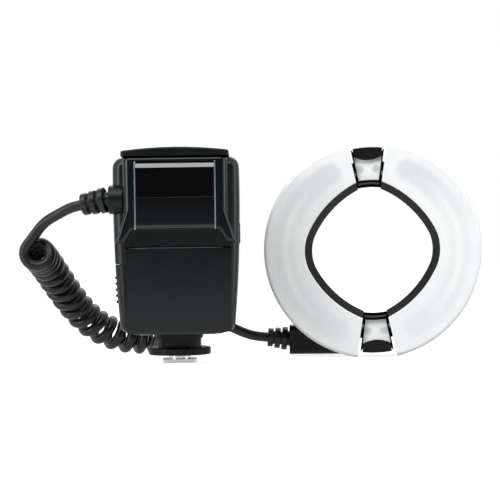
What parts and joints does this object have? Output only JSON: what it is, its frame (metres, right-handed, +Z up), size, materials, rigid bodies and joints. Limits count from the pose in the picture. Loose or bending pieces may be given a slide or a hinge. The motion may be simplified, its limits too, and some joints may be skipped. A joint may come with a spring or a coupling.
{
  "type": "macro ring flash",
  "caption": "Macro ring flash: controller on a shoe foot, curly cord, and a split ring head that fits round a lens.",
  "frame": {"origin": "middle of the shoe foot's lower face", "axes": "+X to the right seen from the front, from the controller towards the ring head; +Y away from the viewer; +Z up"},
  "size_m": [0.2606, 0.103, 0.1222],
  "materials": {
    "casing_plastic": "satin",
    "cap_plastic": "matte",
    "door_plastic": "satin",
    "neck_plastic": "matte",
    "lock_ring_plastic": "satin",
    "foot_metal": "brushed",
    "pin_steel": "polished",
    "contact_brass": "polished",
    "upper_window": "gloss",
    "lower_window": "gloss",
    "trim_metal": "polished",
    "chassis_plastic": "matte",
    "cell_wrap": "gloss",
    "board_green": "matte",
    "component_black": "matte",
    "capacitor_wrap": "gloss",
    "screw_steel": "matte",
    "reflector_metal": "satin",
    "tube_glass": "gloss",
    "display_clear": "gloss",
    "display_grey": "matte",
    "control_rubber": "matte",
    "cover_rubber": "matte",
    "sleeve_nylon": "matte",
    "cord_rubber": "satin",
    "collar_plastic": "satin",
    "ring_plastic": "matte",
    "button_plastic": "satin",
    "diffuser_white": "satin"
  },
  "bodies": {
    "controller": {"adapter_seat": "ring_plastic", "battery_cells": "cell_wrap", "battery_contacts": "contact_brass", "battery_magazine": "chassis_plastic", "cable_boot": "collar_plastic", "casing_screws": "screw_steel", "cord_collar": "collar_plastic", "cord_curls": "cord_rubber", "cord_lead_left": "cord_rubber", "cord_lead_right": "cord_rubber", "display_panel": "display_grey", "display_window": "display_clear", "door_hinge_pin": "pin_steel", "front_shell": "casing_plastic", "guide_rods": "pin_steel", "infrared_sensor": "board_green", "inner_chassis": "chassis_plastic", "led_boards": "board_green", "lower_front_panel": "casing_plastic", "main_board": "board_green", "main_capacitor": "capacitor_wrap", "modelling_windows": "diffuser_white", "rear_shell": "casing_plastic", "rear_switches": "component_black", "ring_carrier": "ring_plastic", "sensor_window": "lower_window", "shoe_foot": "foot_metal", "shoe_neck": "neck_plastic", "signal_reflector": "reflector_metal", "signal_tube": "tube_glass", "step_up_transformer": "component_black", "strain_relief_left": "cord_rubber", "strain_relief_right": "cord_rubber", "terminal_block": "chassis_plastic", "terminal_sockets": "contact_brass", "top_cap": "cap_plastic", "transmitter_window": "upper_window", "window_trims": "trim_metal"},
    "lock_ring": {"lock_ring": "lock_ring_plastic"},
    "lock_pin": {"lock_pin": "pin_steel"},
    "shoe_contacts": {"shoe_contacts": "contact_brass"},
    "door_slider": {"door_sleeve": "sleeve_nylon"},
    "battery_door": {"battery_door": "door_plastic"},
    "terminal_cover": {"terminal_cover": "cover_rubber"},
    "mode_dial": {"mode_dial": "control_rubber"},
    "set_button": {"set_button": "control_rubber"},
    "power_button": {"power_button": "control_rubber"},
    "pilot_button": {"pilot_button": "control_rubber"},
    "minus_button": {"minus_button": "control_rubber"},
    "plus_button": {"plus_button": "control_rubber"},
    "top_release_button": {"top_release_button": "button_plastic"},
    "bottom_release_button": {"bottom_release_button": "button_plastic"},
    "left_lamp": {"left_lamp_housing": "ring_plastic", "left_diffuser": "diffuser_white", "left_reflector": "reflector_metal", "left_flash_tube": "tube_glass"},
    "right_lamp": {"right_lamp_housing": "ring_plastic", "right_diffuser": "diffuser_white", "right_reflector": "reflector_metal", "right_flash_tube": "tube_glass"}
  },
  "joints": [
    {"name": "lock_turn", "type": "hinge", "parent": "controller", "child": "lock_ring", "pos_m": [0, 0, 0.0064], "axis": [0, 0, 1], "range_deg": [0, 90]},
    {"name": "lock_pin_drop", "type": "slide", "parent": "controller", "child": "lock_pin", "axis": [0, 0, -1], "range_m": [0, 0.0013]},
    {"name": "contact_press", "type": "slide", "parent": "controller", "child": "shoe_contacts", "axis": [0, 0, 1], "range_m": [0, 0.0005], "stiffness_N_per_m": 200},
    {"name": "door_slide", "type": "slide", "parent": "controller", "child": "door_slider", "axis": [0, 0, -1], "range_m": [0, 0.004]},
    {"name": "door_swing", "type": "hinge", "parent": "door_slider", "child": "battery_door", "pos_m": [-0.0306, 0.0078, 0.0407], "axis": [0, 0, -1], "range_deg": [0, 95]},
    {"name": "terminal_cover_fold", "type": "hinge", "parent": "controller", "child": "terminal_cover", "pos_m": [0.0341, -0.002, 0.0665], "axis": [0, 1, 0], "range_deg": [0, 110]},
    {"name": "dial_turn", "type": "hinge", "parent": "controller", "child": "mode_dial", "pos_m": [0, 0.022, 0.05], "axis": [0, 1, 0], "continuous": true},
    {"name": "set_press", "type": "slide", "parent": "controller", "child": "set_button", "axis": [0, -1, 0], "range_m": [0, 0.0008], "stiffness_N_per_m": 400},
    {"name": "power_press", "type": "slide", "parent": "controller", "child": "power_button", "axis": [0, -1, 0], "range_m": [0, 0.0008], "stiffness_N_per_m": 400},
    {"name": "pilot_press", "type": "slide", "parent": "controller", "child": "pilot_button", "axis": [0, -1, 0], "range_m": [0, 0.0008], "stiffness_N_per_m": 400},
    {"name": "minus_press", "type": "slide", "parent": "controller", "child": "minus_button", "axis": [0, -1, 0], "range_m": [0, 0.0008], "stiffness_N_per_m": 400},
    {"name": "plus_press", "type": "slide", "parent": "controller", "child": "plus_button", "axis": [0, -1, 0], "range_m": [0, 0.0008], "stiffness_N_per_m": 400},
    {"name": "top_release_press", "type": "slide", "parent": "controller", "child": "top_release_button", "axis": [0.0348, -0.0028, -0.9994], "range_m": [0, 0.002], "stiffness_N_per_m": 400},
    {"name": "bottom_release_press", "type": "slide", "parent": "controller", "child": "bottom_release_button", "axis": [-0.0348, 0.0028, 0.9994], "range_m": [0, 0.002], "stiffness_N_per_m": 400},
    {"name": "left_lamp_slide", "type": "slide", "parent": "controller", "child": "left_lamp", "axis": [-0.9962, 0.0801, -0.0349], "range_m": [0, 0.006]},
    {"name": "right_lamp_slide", "type": "slide", "parent": "controller", "child": "right_lamp", "axis": [0.9962, -0.0801, 0.0349], "range_m": [0, 0.006]}
  ],
  "couplings": [
    {"joint": "lock_pin_drop", "follows": "lock_turn", "m_per_rad": 0.00082761}
  ]
}
